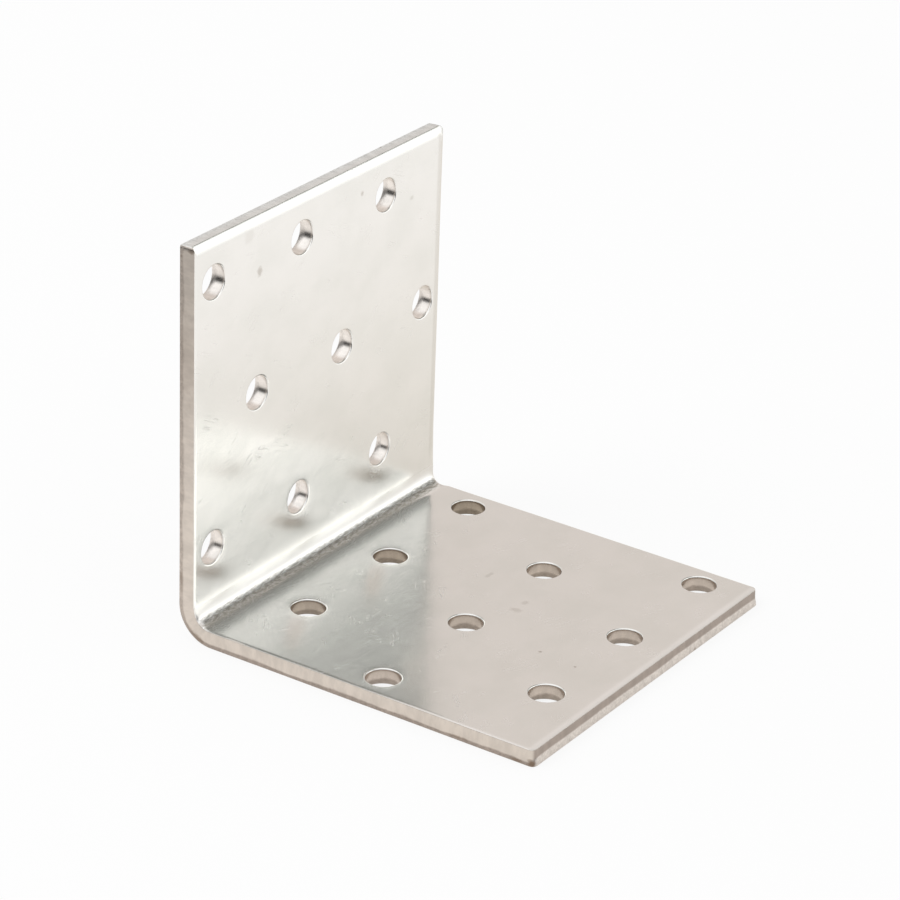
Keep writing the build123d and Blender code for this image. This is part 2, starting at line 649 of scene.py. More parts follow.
    def hole_section(self) -> Array:
        """Points of a punched hole's section.

        The mouth is a quarter circle, the land is straight, and the break widens as a power of its
        fall.

        Returns:
            Array of (radius beyond the hole's own, depth from the outer face, stage of the cut).
        """
        sheet, roll, wide = self.sizes.sheet, self.mouth_roll, self.sizes.break_out
        turn = np.linspace(0, math.pi / 2, self.mouth_rings)
        mouth = [roll * (1 - np.sin(turn)), sheet - roll * (1 - np.cos(turn)), 0 * turn]
        land_end = sheet * (1 - self.land_share)
        fall = np.linspace(0, 1, 5)[1:]
        land = [0 * fall, (sheet - roll) * (1 - fall) + land_end * fall, fall]
        fall = np.array([0.05, 0.2, 0.45, 0.75, 0.97])
        torn = [wide * fall**2.2, land_end * (1 - fall), 1 + 0.95 * fall]
        return np.concatenate([mouth, land, torn, [[wide], [0], [2]]], axis=1).T

    def add_hole_walls(self) -> None:
        """Adds the wall of each hole: the rounded mouth, the burnished land and the rough break.

        The radius and the land's end are uneven round the hole, by a rippled line that is zero at
        the mouth and at the outer face.
        """
        beyond, fallen, stage = self.hole_section().T[..., None]
        torn = np.clip(stage - 1, 0, 1) * np.clip(2 - stage, 0, 1)
        grid = self.tile(FLUSH)
        for number, (row, column) in enumerate(self.sizes.holes()):
            centre, _, angle = self.hole_ring(grid, row, column)
            rough = ripple(angle / (2 * math.pi), self.hole_seed + number, wavelength=0.5, terms=6)
            radius = self.sizes.hole_radius + beyond + self.hole_wander * torn * rough
            depth = fallen + self.hole_wander * hump(stage, 1, 0.7) * np.roll(rough, 7)
            place = centre + radius[..., None] * directions(angle)
            mark = np.stack(np.broadcast_arrays(stage, np.zeros(depth.shape)), axis=-1)
            self.add_wall(place, depth, mark, self.mouth_rings, Zone.PUNCHED_WALL, True)

    def joined(self, name: str) -> bpy.types.Object:
        """Joins the patches into one mesh, with vertices that share a place made one.

        The mesh is then pressed and carried round the fold.

        Args:
            name: Name of the object and its mesh.

        Returns:
            The new object.
        """
        blank = np.concatenate([patch.blank.reshape(-1, 3) for patch in self.patches])
        cut = np.concatenate([patch.cut.reshape(-1, 2) for patch in self.patches])
        first = np.cumsum([0] + [patch.blank[..., 0].size for patch in self.patches])
        quads = [patch.quads(number) for patch, number in zip(self.patches, first)]
        zones = np.concatenate([np.full(len(q), int(patch.zone)) for q, patch in zip(quads, self.patches)])
        quads = np.concatenate(quads)
        used = np.unique(quads)
        cell = np.floor(blank[used] / MERGE_CELL + MERGE_SHIFT).astype(np.int64)
        _, chosen, merged = np.unique(cell, axis=0, return_index=True, return_inverse=True)
        renumbered = np.zeros(len(blank), np.int64)
        renumbered[used] = merged.ravel()
        quads = renumbered[quads]
        chosen = used[chosen]
        mesh = bpy.data.meshes.new(name)
        mesh.from_pydata(self.sizes.carry(self.relief.press(blank[chosen])), [], quads)
        mesh.polygons.foreach_set("material_index", zones.astype(np.int32))
        mesh.polygons.foreach_set("use_smooth", np.ones(len(quads), bool))
        layer = mesh.attributes.new(PLACE_NAME, "FLOAT_VECTOR", "POINT")
        layer.data.foreach_set("vector", blank[chosen].astype(np.float32).ravel())
        for attribute, values in zip(CUT_NAMES, cut[chosen].T):
            layer = mesh.attributes.new(attribute, "FLOAT", "POINT")
            layer.data.foreach_set("value", values.astype(np.float32))
        mesh.validate()
        mesh.update()
        return added(name, mesh)

    def build(self, name: str) -> bpy.types.Object:
        """Works out every patch and joins them into one closed mesh.

        Args:
            name: Name of the finished piece.

        Returns:
            The object, at the origin, with the attributes blank_place, cut_stage and cut_end.
        """
        cuts = self.side_cut, self.top_cut, self.tip_cut
        shoulders = tuple(cut.border() for cut in cuts)
        feet = tuple(cut.foot_inset + cut.foot_round for cut in cuts)
        hole = self.sizes.hole_radius
        self.add_face(shoulders, self.sizes.sheet, hole + self.mouth_roll, False)
        self.add_face(feet, 0.0, hole + self.sizes.break_out, True)
        self.add_outline()
        self.add_hole_walls()
        return self.joined(name)


class Graph:
    """Adds nodes to one node tree. Every value that it takes may be a socket or a constant."""

    def __init__(self, tree: bpy.types.NodeTree) -> None:
        """Keeps the tree."""
        self.tree = tree

    def feed(self, target: Socket, value: object) -> None:
        """Gives a socket its value.

        Args:
            target: The socket.
            value: Another socket to link into it, or a constant. A colour has no alpha.
        """
        if isinstance(value, Socket):
            self.tree.links.new(value, target)
        else:
            target.default_value = (*value, 1.0) if target.type == "RGBA" else value

    def node(self, kind: str, values: dict | None = None, **settings: object) -> bpy.types.Node:
        """Adds a node.

        Args:
            kind: Blender's name for the type of node.
            values: What goes into its inputs, by their names or numbers.
            settings: Properties to set on it.

        Returns:
            The node.
        """
        made = self.tree.nodes.new(kind)
        for name, value in settings.items():
            setattr(made, name, value)
        for key, value in (values or {}).items():
            self.feed(made.inputs[key], value)
        return made

    def math(self, operation: str, *values: object) -> Socket:
        """A maths node."""
        return self.node("ShaderNodeMath", dict(enumerate(values)), operation=operation).outputs[0]

    def vector(self, operation: str, *values: object, output: str = "Vector") -> Socket:
        """A vector maths node."""
        made = self.node("ShaderNodeVectorMath", dict(enumerate(values)), operation=operation)
        return made.outputs[output]

    def total(self, *values: object) -> Socket:
        """The sum of the values."""
        return reduce(lambda a, b: self.math("ADD", a, b), values)

    def times(self, *values: object) -> Socket:
        """The product of the values."""
        return reduce(lambda a, b: self.math("MULTIPLY", a, b), values)

    def largest(self, *values: object) -> Socket:
        """The largest of the values."""
        return reduce(lambda a, b: self.math("MAXIMUM", a, b), values)

    def away(self, value: object, middle: float) -> Socket:
        """Distance of a value from a middle one."""
        return self.math("ABSOLUTE", self.math("SUBTRACT", value, middle))

    def ranged(self, value: object, low: float, high: float, to_low: float = 0.0, to_high: float = 1.0,
               way: str = "SMOOTHSTEP") -> Socket:
        """A value mapped from one range to another, with its ends held."""
        values = dict(enumerate((value, low, high, to_low, to_high)))
        return self.node("ShaderNodeMapRange", values, interpolation_type=way).outputs[0]

    def falling(self, value: object, low: float, high: float) -> Socket:
        """A value that falls from 1 at the low end to 0 at the high one."""
        return self.ranged(value, low, high, 1.0, 0.0)

    def mix(self, share: object, first: object, second: object, way: str = "MIX") -> Socket:
        """Two colours mixed, with the given share of the second one."""
        values = {0: share, 6: first, 7: second}
        return self.node("ShaderNodeMix", values, data_type="RGBA", blend_type=way).outputs[2]

    def blend(self, share: object, first: object, second: object) -> Socket:
        """A value between two others, with the given share of the second one."""
        return self.node("ShaderNodeMix", {0: share, 2: first, 3: second}, data_type="FLOAT").outputs[0]

    def shaded(self, colour: object, factor: object) -> Socket:
        """A colour multiplied by a factor or by another colour."""
        return self.mix(1.0, colour, factor, "MULTIPLY")

    def noise(self, place: Socket, scale: float) -> Socket:
        """A fine noise, mostly between 0.3 and 0.7, with so many waves in one unit of the place."""
        values = {"Vector": place, "Scale": scale, "Detail": 3.0, "Roughness": 0.6}
        return self.node("ShaderNodeTexNoise", values).outputs["Fac"]

    def attribute(self, name: str, output: str = "Vector") -> Socket:
        """An attribute of the piece."""
        return self.node("ShaderNodeAttribute", attribute_name=name).outputs[output]

    def use(self, group: bpy.types.NodeTree, **values: object) -> Socket:
        """The output of a shared group, fed by the names of its inputs."""
        return self.node("ShaderNodeGroup", values, node_tree=group).outputs[0]

    def parts(self, vector: Socket) -> tuple[Socket, ...]:
        """The three parts of a vector."""
        return tuple(self.node("ShaderNodeSeparateXYZ", {0: vector}).outputs)


class Effects:
    """Node groups that several finishes share. Each puts out one value between 0 and 1."""

    def __init__(self) -> None:
        """Builds the groups once."""
        dots = {"Place": "Vector", "Spacing": "Float", "Size": "Float", "Share": "Float"}
        triples = {"Place": "Vector", "Centre": "Vector", "Reach": "Vector"}
        waves = {"Place": "Vector", "Waves": "Vector"}
        self.grain = self.group("stretched_grain", "Value", self.grain_pattern, waves)
        self.specks = self.group("loose_specks", "Mask", self.speck_pattern, dots)
        self.spot = self.group("uneven_spot", "Mask", self.spot_pattern, triples)

    @staticmethod
    def group(name: str, output: str, pattern: Callable, inputs: dict[str, str]) -> bpy.types.NodeTree:
        """Makes a group.

        Args:
            name: Name of the group.
            output: Name of its one output.
            pattern: Adds its nodes to a graph, from its inputs in their order.
            inputs: Names of its inputs with their socket kinds.

        Returns:
            The group.
        """
        tree = bpy.data.node_groups.new(name, "ShaderNodeTree")
        for socket, kind in inputs.items():
            tree.interface.new_socket(socket, in_out="INPUT", socket_type=f"NodeSocket{kind}")
        tree.interface.new_socket(output, in_out="OUTPUT", socket_type="NodeSocketFloat")
        graph = Graph(tree)
        given = graph.node("NodeGroupInput").outputs
        graph.node("NodeGroupOutput", {0: pattern(graph, *(given[socket] for socket in inputs))})
        return tree

    @staticmethod
    def grain_pattern(graph: Graph, place: Socket, waves: Socket) -> Socket:
        """Noise with its own number of waves a millimetre in each direction."""
        return graph.noise(graph.vector("MULTIPLY", place, waves), 1.0)

    @staticmethod
    def speck_pattern(graph: Graph, place: Socket, spacing: Socket, size: Socket, share: Socket) -> Socket:
        """Makes small round dots at random places.

        Args:
            graph: The group's graph.
            place: Place on the blank.
            spacing: Size of the cells that may hold a dot, in millimetres.
            size: Radius of a dot.
            share: Share of the cells that do hold one.

        Returns:
            A mask.
        """
        cell = {"Vector": graph.vector("DIVIDE", place, spacing), "Scale": 1.0}
        cells = graph.node("ShaderNodeTexVoronoi", cell).outputs
        near = graph.math("DIVIDE", cells["Distance"], graph.math("DIVIDE", size, spacing))
        there = graph.math("LESS_THAN", graph.parts(cells["Color"])[0], share)
        return graph.times(graph.falling(near, 0.4, 1.0), there)

    @staticmethod
    def spot_pattern(graph: Graph, place: Socket, centre: Socket, reach: Socket) -> Socket:
        """Makes one soft spot with an uneven edge.

        Args:
            graph: The group's graph.
            place: Place on the blank.
            centre: The spot's middle.
            reach: How far it goes in each direction.

        Returns:
            A mask.
        """
        offset = graph.vector("DIVIDE", graph.vector("SUBTRACT", place, centre), reach)
        uneven = graph.times(graph.math("SUBTRACT", graph.noise(place, 1.3), 0.5), 1.3)
        edge = graph.total(graph.vector("LENGTH", offset, output="Value"), uneven)
        return graph.falling(edge, 0.2, 1.0)


@dataclass(frozen=True)
class Mark:
    """A single spot on the steel, in millimetres on the blank."""

    centre: Triple  # station, place along the fold, depth
    reach: Triple
    strength: float


class Surface:
    """A metal material under construction, patterned by the piece's places on the blank."""

    def __init__(self, name: str, effects: Effects) -> None:
        """Starts the material.

        Args:
            name: Name of the material.
            effects: The shared groups.
        """
        self.material = bpy.data.materials.new(name)
        self.material.use_nodes = True
        self.graph = Graph(self.material.node_tree)
        self.effects = effects
        self.place = self.graph.attribute(PLACE_NAME)
        self.station, self.along, self.depth = self.graph.parts(self.place)

    def grain(self, waves: Triple, place: Socket | None = None) -> Socket:
        """Stretched noise with so many waves a millimetre in each direction."""
        return self.graph.use(self.effects.grain, Place=place or self.place, Waves=waves)

    def specks(self, spacing: float, size: float, share: float) -> Socket:
        """Loose dots of a size, in cells of a spacing in millimetres, in a share of the cells."""
        cells = {"Spacing": spacing, "Size": size, "Share": share}
        return self.graph.use(self.effects.specks, Place=self.place, **cells)

    def spot(self, centre: Triple, reach: Triple) -> Socket:
        """One soft spot on the steel."""
        return self.graph.use(self.effects.spot, Place=self.place, Centre=centre, Reach=reach)

    def masks(self, marks: tuple[Mark, ...]) -> list[Socket]:
        """A mask for each single mark, which rises to the mark's strength."""
        return [self.graph.times(self.spot(mark.centre, mark.reach), mark.strength) for mark in marks]

    def finish(self, height: Socket, values: dict[str, object]) -> bpy.types.Material:
        """Feeds the shader of a metal.

        Args:
            height: Height of the relief in millimetres.
            values: What goes into the shader's other inputs, by their names.

        Returns:
            The material.
        """
        relief = self.graph.node("ShaderNodeBump", {"Strength": 1.0, "Distance": MM, "Height": height})
        shader = self.material.node_tree.nodes["Principled BSDF"]
        for name, value in {"Metallic": 1.0, "Normal": relief.outputs[0], **values}.items():
            self.graph.feed(shader.inputs[name], value)
        return self.material


@dataclass(frozen=True)
class ZincFinish:
    """Bright zinc plating as it lies on the rolled faces of the sheet.

    Waves are numbers of waves a millimetre along the stations, along the fold and in depth.
    Heights are in millimetres.
    """

    colour: Triple = (0.90, 0.89, 0.87)
    dull_colour: Triple = (0.86, 0.855, 0.83)
    # Colour of grime and specks; also the painted shade that darkens the fold's crazed band.
    grime_and_shade_colour: Triple = (0.50, 0.46, 0.41)
    roughness: float = 0.183
    scuffed: float = 0.42  # roughness inside a scratch or a speck
    anisotropy: float = 0.37  # the rolling lines run across the fold and blur along it
    quarter_turn: float = 0.25  # turns that blur from the tangent's direction to the fold's
    lean: float = 0.013  # the upright leg leans back by twice this slope, away from the fold
    lean_middle: float = -13.0  # station of half the lean
    lean_reach: float = 8.0  # it grows over about twice this length
    die_line: float = 28.6  # a dull line on the upright leg's inner face, this far along the fold
    die_strength: float = 0.2
    fold_wear: float = 0.55  # the coat is rougher where the bend stretched it, as a share of a scratch
    leg_wear: float = 0.2  # and a little so on the upright leg next to the fold
    fold_band: tuple[float, float] = (3.7, 4.4)  # stations between which the coat is crazed, and darkened partly as a painted shade
    band_fade: float = 1.6  # the crazing dies away over this length
    cloud_waves: Triple = (0.12, 0.09, 0.0)  # slow dullness
    roll_waves: Triple = (2.6, 0.22, 0.0)  # lines of the rolling mill
    craze_waves: Triple = (2.2, 1.1, 0.0)
    swell_waves: Triple = (0.11, 0.09, 0.0)  # the sheet's slow unevenness
    speck_waves: Triple = (0.13, 0.17, 0.0)  # patches in which there are specks
    scratch_waves: Triple = (0.9, 0.06, 0.0)
    scuff_waves: Triple = (0.22, 0.16, 0.0)  # patches in which there are scratches
    swell_height: float = 0.035
    roll_height: float = 0.0009
    craze_height: float = 0.07
    scratch_height: float = -0.003
    smudges: tuple[Mark, ...] = (
        Mark((-46.4, -14.9, 2.6), (0.9, 0.8, 2.0), 0.55),
        Mark((-50.4, 9.1, 2.6), (0.5, 0.5, 2.0), 0.5),
        Mark((-52.3, -17.3, 2.6), (1.6, 1.6, 2.0), 0.14),
        Mark((-45.8, 21.7, 2.6), (0.5, 0.7, 2.0), 0.25),
        Mark((36.8, 2.3, 2.6), (1.3, 0.8, 2.0), 0.34),
        Mark((36.7, 4.9, 2.6), (0.6, 0.9, 2.0), 0.3),
        Mark((27.9, 9.0, 2.6), (0.5, 1.6, 2.0), 0.26),
        Mark((46.4, -5.9, 2.6), (0.35, 0.35, 2.0), 0.75),
        Mark((52.7, -6.6, 2.6), (0.3, 0.3, 2.0), 0.75),
    )

    def scratches(self, surface: Surface, turn: float, shift: float) -> Socket:
        """Fine scratches in one direction: thin middle lines of a much stretched noise, in patches.

        Args:
            surface: The material under construction.
            turn: Direction of the scratches in degrees from the fold.
            shift: Moves the pattern, in millimetres.

        Returns:
            A mask.
        """
        graph = surface.graph
        moved = {"Vector": surface.place, "Location": (shift, 0, 0), "Rotation": (0, 0, math.radians(turn))}
        place = graph.node("ShaderNodeMapping", moved).outputs[0]
        line = graph.falling(graph.away(surface.grain(self.scratch_waves, place), 0.5), 0.004, 0.016)
        return graph.times(line, graph.ranged(surface.grain(self.scuff_waves, place), 0.55, 0.68))

    def die_mark(self, surface: Surface) -> Socket:
        """The dull line that the press tool left near the upright leg's far edge.

        Args:
            surface: The material under construction.

        Returns:
            A mask.
        """
        graph = surface.graph
        near = graph.ranged(graph.away(surface.along, self.die_line), 0.2, 0.7, self.die_strength, 0.0)
        inner_face = graph.ranged(surface.depth, 1.0, 2.0)
        return graph.times(near, inner_face, graph.falling(surface.station, -4.0, 0.0))

    def leaning(self, surface: Surface) -> Socket:
        """Height of the upright leg's lean: a slope that sets in along one branch of a hyperbola.

        Args:
            surface: The material under construction.

        Returns:
            A height in millimetres.
        """
        graph = surface.graph
        off = graph.math("SUBTRACT", surface.station, self.lean_middle)
        arc = graph.math("SQRT", graph.total(graph.times(off, off), self.lean_reach**2))
        return graph.times(graph.math("SUBTRACT", off, arc), self.lean)

    def material(self, name: str, effects: Effects) -> bpy.types.Material:
        """Builds the material.

        The rolled faces carry a slow dullness, fine rolling lines, scratches, specks and smudges.
        In the hollow of the fold the coat is rougher, and crazed where the tool stretched it most.
        The crazed band is also darkened, partly as crazing and partly as a painted shade.

        Args:
            name: Name of the material.
            effects: The shared groups.

        Returns:
            The material.
        """
        surface = Surface(name, effects)
        graph, station = surface.graph, surface.station
        rolled, crazed = surface.grain(self.roll_waves), surface.grain(self.craze_waves)
        low, high = self.fold_band
        rising = graph.ranged(station, low - self.band_fade, low)
        folded = graph.times(rising, graph.falling(station, high, high + self.band_fade))
        crazing = graph.times(graph.ranged(crazed, 0.42, 0.62), folded)
        lines = graph.largest(self.scratches(surface, 24.0, 0.0), self.scratches(surface, -38.0, 31.0))
        patchy = graph.ranged(surface.grain(self.speck_waves), 0.5, 0.62)
        specks = graph.times(surface.specks(2.6, 0.16, 0.3), patchy, 0.45)
        grime = graph.largest(specks, *surface.masks(self.smudges), self.die_mark(surface))

        dull = graph.ranged(surface.grain(self.cloud_waves), 0.35, 0.7)
        colour = graph.mix(dull, self.colour, self.dull_colour)
        # painted shade: the crazed band of the fold is darkened, partly real crazing and partly shade along
        # the fold's dark line
        colour = graph.mix(graph.times(crazing, 0.7), colour, self.grime_and_shade_colour)
        colour = graph.mix(grime, colour, self.grime_and_shade_colour)

        stretched = graph.times(
            graph.ranged(station, -0.6, 1.0, self.leg_wear, self.fold_wear),
            graph.falling(station, 3.0, 5.0),
            graph.ranged(station, -16.0, -8.0),
        )
        shares = graph.times(lines, 0.7), graph.times(grime, 0.8), graph.times(crazing, 0.3)
        smooth = graph.ranged(rolled, 0.3, 0.7, self.roughness - 0.015, self.roughness + 0.02)
        roughness = graph.blend(graph.largest(*shares, stretched), smooth, self.scuffed)

        height = graph.total(
            graph.times(surface.grain(self.swell_waves), self.swell_height),
            graph.times(rolled, self.roll_height),
            graph.times(crazed, folded, self.craze_height),
            graph.times(lines, self.scratch_height),
            self.leaning(surface),
        )
        values = {"Base Color": colour, "Roughness": roughness, "Anisotropic": self.anisotropy}
        values["Anisotropic Rotation"] = self.quarter_turn
        values["Tangent"] = graph.node("ShaderNodeTangent", direction_type="RADIAL", axis="Y").outputs[0]
        return surface.finish(height, values)


@dataclass(frozen=True)
class CutFinish:
    """Cut steel: a burnished land and a torn break."""

    land_colour: Triple
    break_colour: Triple
    tip_land_colour: Triple = (0.40, 0.345, 0.31)
    tip_break_colour: Triple = (0.74, 0.69, 0.65)
    top_colour: Triple = (0.86, 0.88, 0.88)
    stain_colour: Triple = (0.26, 0.19, 0.14)
    roughness: float = 0.38
    torn_roughness: float = 0.14  # added to it on the break
    rise: float = 0.01  # height of the streaks in millimetres
    upright_painted_light: float = 0.0  # painted light: on the upright leg the break is lightened this far towards the land's colour
    fold_painted_shade: Triple = (1.0, 1.0, 1.0)  # painted shade: factor that darkens the flat leg's cuts by the fold
    tip_painted_shade: Triple = (1.0, 1.0, 1.0)  # painted shade: the same by the tip
    painted_top_shade: float = 0.14  # strength of the painted shade line along the corner where the top edge's cut begins
    streak_waves: Triple = (0.9, 0.9, 0.35)  # waves a millimetre, as in ZincFinish
    grit_waves: Triple = (3.2, 3.2, 3.2)
    bay_waves: Triple = (0.22, 0.22, 0.0)  # the break's bays into the land
    stains: tuple[Mark, ...] = ()

    def material(self, name: str, effects: Effects) -> bpy.types.Material:
        """Builds the material.

        The land is drawn out in streaks across the sheet's thickness. Past an uneven line the
        break is granular and darker. The cropped top edge and tip have colours of their own.
        Light and shade are painted as well: the break is lightened on the upright leg, the flat
        leg's hole walls are darkened, and a dark line is painted where the top edge's cut begins.

        Args:
            name: Name of the material.
            effects: The shared groups.

        Returns:
            The material.
        """
        surface = Surface(name, effects)
        graph, station = surface.graph, surface.station
        stage, end = (graph.attribute(name, "Fac") for name in CUT_NAMES)
        streak, grit = surface.grain(self.streak_waves), surface.grain(self.grit_waves)
        tip, top = graph.ranged(end, 0.4, 0.8), graph.falling(end, -0.8, -0.4)
        wander = graph.times(graph.math("SUBTRACT", surface.grain(self.bay_waves), 0.5), 0.9)
        wandering = graph.ranged(graph.total(stage, wander), 0.95, 1.35)
        torn = graph.blend(tip, wandering, graph.ranged(stage, 0.9, 1.15))

        # painted light: the break is lightened towards the land on the upright leg, leaving the flat leg's
        # cuts darker as shade
        upright_lightening = graph.ranged(station, -2.0, 6.0, self.upright_painted_light, 0.0)
        side_break = graph.mix(upright_lightening, self.break_colour, self.land_colour)
        land = graph.mix(tip, graph.mix(top, self.land_colour, self.top_colour), self.tip_land_colour)
        rough = graph.mix(tip, graph.mix(top, side_break, self.top_colour), self.tip_break_colour)
        colour = graph.shaded(graph.mix(torn, land, rough), graph.ranged(streak, 0.3, 0.7, 0.92, 1.06))
        # painted shade: the flat leg's cuts are darkened, most by the fold
        shade = graph.mix(graph.ranged(station, 14.0, 30.0), self.fold_painted_shade, self.tip_painted_shade)
        colour = graph.mix(graph.ranged(station, 0.0, 8.0), colour, graph.shaded(colour, shade))
        colour = graph.shaded(colour, graph.blend(torn, 1.0, graph.ranged(grit, 0.3, 0.65, 0.86, 1.06)))
        pits = graph.times(surface.specks(1.9, 0.34, 0.35), torn, 0.5)
        # painted shade: a dark line along the corner where the top edge's shoulder meets its land
        painted_top_shade = graph.times(graph.ranged(stage, 0.03, 0.2, self.painted_top_shade, 0.0), top)
        stain = graph.largest(pits, painted_top_shade, *surface.masks(self.stains))
        colour = graph.mix(stain, colour, self.stain_colour)

        roughness = graph.blend(torn, self.roughness, self.roughness + self.torn_roughness)
        height = graph.total(graph.times(streak, self.rise), graph.times(grit, torn, 2 * self.rise))
        return surface.finish(height, {"Base Color": colour, "Roughness": roughness})


@dataclass(frozen=True)
class PhotoCamera:
    """The photograph's viewpoint: angles in degrees, distances in millimetres."""

    turn: float = 33.584  # to the right of the bracket's front
    lift: float = 25.688  # above the horizon
    roll: float = 2.0
    distance: float = 547.5
    target: Triple = (25.138, 0.0, 25.609)  # from the upright leg's outer face
    focal_pixels: float = 3892.0  # focal length in pixels of the square image
    clip: tuple[float, float] = (0.01, 10.0)  # nearest and farthest that it sees, in metres

    def place(self) -> bpy.types.Object:
        """Makes the camera and gives it to the scene.

        Returns:
            The camera object.
        """
        turn, lift, roll = (math.radians(a) for a in (self.turn, self.lift, self.roll))
        back = Vector((math.sin(turn) * math.cos(lift), -math.cos(turn) * math.cos(lift), math.sin(lift)))
        right = Vector((math.cos(turn), math.sin(turn), 0.0))
        up = back.cross(right)
        across = math.cos(roll) * right + math.sin(roll) * up
        upward = math.cos(roll) * up - math.sin(roll) * right
        lens = bpy.data.cameras.new("photo_camera")
        lens.sensor_width = SENSOR
        lens.lens = self.focal_pixels / IMAGE_SIDE * SENSOR
        lens.clip_start, lens.clip_end = self.clip
        made = added("photo_camera", lens)
        target = Vector(self.target) * MM + Vector((CAD_LOW.x, 0.0, 0.0))
        turned = Matrix((across, upward, back)).transposed().to_4x4()
        made.matrix_world = Matrix.Translation(target + back * self.distance * MM) @ turned
        bpy.context.scene.camera = made
        return made


@dataclass(frozen=True)
class SoftLamp:
    """A square soft lamp, with its places and side in metres."""

    name: str
    place: Triple
    side: float
    power: float  # watts
    aim: Triple = (0.0, 0.0, 0.0)  # the point that it faces

    def build(self) -> bpy.types.Object:
        """Makes the lamp, which the metal doesn't mirror.

        Returns:
            The lamp object.
        """
        light = bpy.data.lights.new(self.name, "AREA")
        light.shape = "SQUARE"
        light.size = self.side
        light.energy = self.power
        made = added(self.name, light)
        made.visible_glossy = False
        made.location = self.place
        made.rotation_mode = "QUATERNION"
        made.rotation_quaternion = (Vector(self.aim) - Vector(self.place)).to_track_quat("-Z", "Y")
        return made


def grey(level: float) -> Triple:
    """A colour without a hue."""
    return level, level, level


@dataclass(frozen=True)
class Studio:
    """White floor, soft light and the room that the metal reflects. Lengths are in metres."""

    floor_side: float = 4.0
    floor_drop: float = 0.00004  # the floor lies this far under the steel
    floor_white: Triple = grey(0.92)
    seen_glow: float = 0.85  # share of the floor's white, as the camera sees it, that is its own
    mirrored_glow: float = 0.6  # the same as the metal reflects it
    under_glow: float = 0.6  # and under the bracket, where the light hardly gets to
    under_fade: float = 0.004  # width of the change between the two
    painted_near_shadow: Triple = (0.66, 0.60, 0.50)  # the floor as mirrored, left of the bracket, with a painted shadow: darker and warmer
    far_white: Triple = (1.03, 1.01, 0.985)  # and right of it
    front_white: Triple = (1.0, 0.97, 0.94)  # and in front of it
    floor_end: Triple = grey(0.04)  # and where it ends
    ahead: tuple[float, float] = (0.55, 0.83)  # direction from the front left to the back right
    front_low: Triple = grey(0.03)  # the room before the bracket, low down
    ceiling: Triple = grey(1.1)
    room_light: Triple = grey(0.85)  # light from the room on everything
    backdrop: Triple = grey(1.0)  # what the camera sees of the room
    far_wall: tuple[tuple[float, Triple], ...] = (
        (0.0, (1.04, 1.04, 1.02)),
        (10.0, (1.2, 1.2, 1.17)),
        (19.0, (1.5, 1.5, 1.46)),
        (31.0, (1.75, 1.75, 1.71)),
        (36.5, (1.85, 1.85, 1.81)),
        (38.5, (1.28, 1.29, 1.27)),
        (41.0, (0.50, 0.52, 0.505)),
        (44.0, (0.31, 0.33, 0.315)),
        (46.5, (0.21, 0.225, 0.215)),
        (52.0, (0.20, 0.21, 0.20)),
        (60.0, (0.24, 0.235, 0.22)),
        (74.0, (0.24, 0.23, 0.21)),
        (86.0, (0.48, 0.46, 0.42)),
        (102.0, (0.52, 0.50, 0.455)),
        (108.0, (0.78, 0.74, 0.71)),
        (120.0, (0.84, 0.78, 0.75)),
        (132.5, (0.70, 0.645, 0.60)),
        (136.0, (0.735, 0.68, 0.64)),
        (180.0, (0.72, 0.665, 0.625)),
    )  # colours of the wall behind, by angle over the horizon from right to left

    def mirrored_floor(self, graph: Graph, x: Socket, y: Socket) -> Socket:
        """Colours the floor as the metal reflects it.

        It darkens towards the front left of the room, where the photograph's floor ended.
        Left of the bracket it is darker and warmer: a painted shadow of the bracket.

        Args:
            graph: The floor's graph.
            x: Place on the floor to the right of the bracket's middle.
            y: Place behind it.

        Returns:
            The colour.
        """
        ahead = graph.total(graph.times(x, self.ahead[0]), graph.times(y, self.ahead[1]))
        across = graph.ranged(x, -0.10, 0.06, way="LINEAR")
        # painted shadow: the mirrored floor is darker and warmer left of the bracket
        behind = graph.mix(across, self.painted_near_shadow, self.far_white)
        white = graph.mix(graph.ranged(ahead, -0.03, 0.01), self.front_white, behind)
        return graph.mix(graph.ranged(ahead, -0.36, -0.06), self.floor_end, white)

    def floor_material(self) -> bpy.types.Material:
        """Builds the floor's white.

        The camera sees it almost all by its own glow, with a soft shadow. The metal reflects it
        by its own glow too, and by the light that falls on it.

        Returns:
            The material.
        """
        made = bpy.data.materials.new("white_floor")
        made.use_nodes = True
        graph, nodes = Graph(made.node_tree), made.node_tree.nodes
        ray = graph.node("ShaderNodeLightPath").outputs
        x, y, _ = graph.parts(graph.node("ShaderNodeTexCoord").outputs["Object"])
        mirrored = self.mirrored_floor(graph, x, y)
        base = graph.mix(ray["Is Glossy Ray"], self.floor_white, mirrored)
        for name, value in (("Base Color", base), ("Roughness", 1.0), ("Specular IOR Level", 0.0)):
            graph.feed(nodes["Principled BSDF"].inputs[name], value)
        bright = graph.mix(ray["Is Glossy Ray"], self.backdrop, mirrored)
        glow = graph.node("ShaderNodeEmission", {"Color": bright, "Strength": 1.0})
        seen = graph.times(graph.largest(ray["Is Camera Ray"], ray["Is Transmission Ray"]), self.seen_glow)
        outside = graph.largest(*(
            graph.ranged(graph.math("ABSOLUTE", place), edge, edge + self.under_fade)
            for place, edge in ((x, CAD_HIGH.x), (y, CAD_HIGH.y))
        ))
        clear = graph.ranged(outside, 0.0, 1.0, self.under_glow, self.mirrored_glow)
        share = graph.largest(seen, graph.times(ray["Is Glossy Ray"], clear))
        layers = {0: share, 1: nodes["Principled BSDF"].outputs[0], 2: glow.outputs[0]}
        mixed = graph.node("ShaderNodeMixShader", layers)
        graph.feed(nodes["Material Output"].inputs["Surface"], mixed.outputs[0])
        return made

